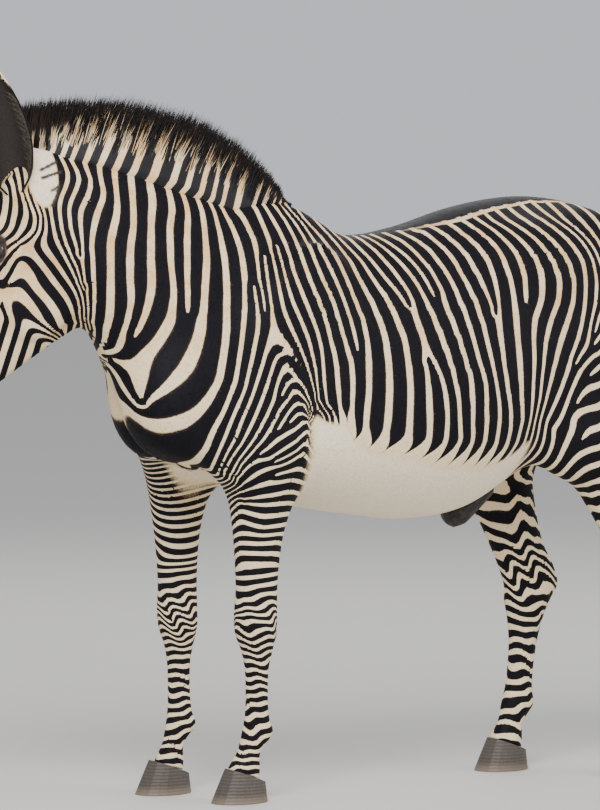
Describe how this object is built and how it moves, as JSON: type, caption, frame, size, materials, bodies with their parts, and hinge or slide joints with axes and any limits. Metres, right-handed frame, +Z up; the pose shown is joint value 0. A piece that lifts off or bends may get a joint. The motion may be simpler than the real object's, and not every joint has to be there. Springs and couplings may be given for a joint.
{
  "type": "zebra",
  "caption": "Life-size standing zebra stallion with narrow stripes, white belly, upright mane and large round ears; a still display model that stands on its four hooves.",
  "frame": {"origin": "on the floor under the middle of the model's bounding box", "axes": "+X towards the tail, -X towards the nose, -Y the animal's left side, +Z up"},
  "size_m": [2.197, 0.5888, 1.8647],
  "materials": {
    "coat": "short hair, striped",
    "long_hair": "stiff long hair",
    "horn": "satin horn",
    "eye": "wet gloss",
    "dark_skin": "matt bare skin"
  },
  "bodies": {
    "root": {"ear_left": "coat", "ear_right": "coat", "eye_left": "eye", "eye_right": "eye", "fore_hoof_left": "horn", "fore_hoof_right": "horn", "foreleg_left_lower": "coat", "foreleg_left_upper": "coat", "foreleg_right_lower": "coat", "foreleg_right_upper": "coat", "head": "coat", "hind_hoof_left": "horn", "hind_hoof_right": "horn", "hindleg_left_lower": "coat", "hindleg_left_upper": "coat", "hindleg_right_lower": "coat", "hindleg_right_upper": "coat", "mane": "long_hair", "neck": "coat", "sheath": "dark_skin", "tail": "coat", "tail_tuft": "long_hair", "trunk": "coat"}
  },
  "joints": []
}
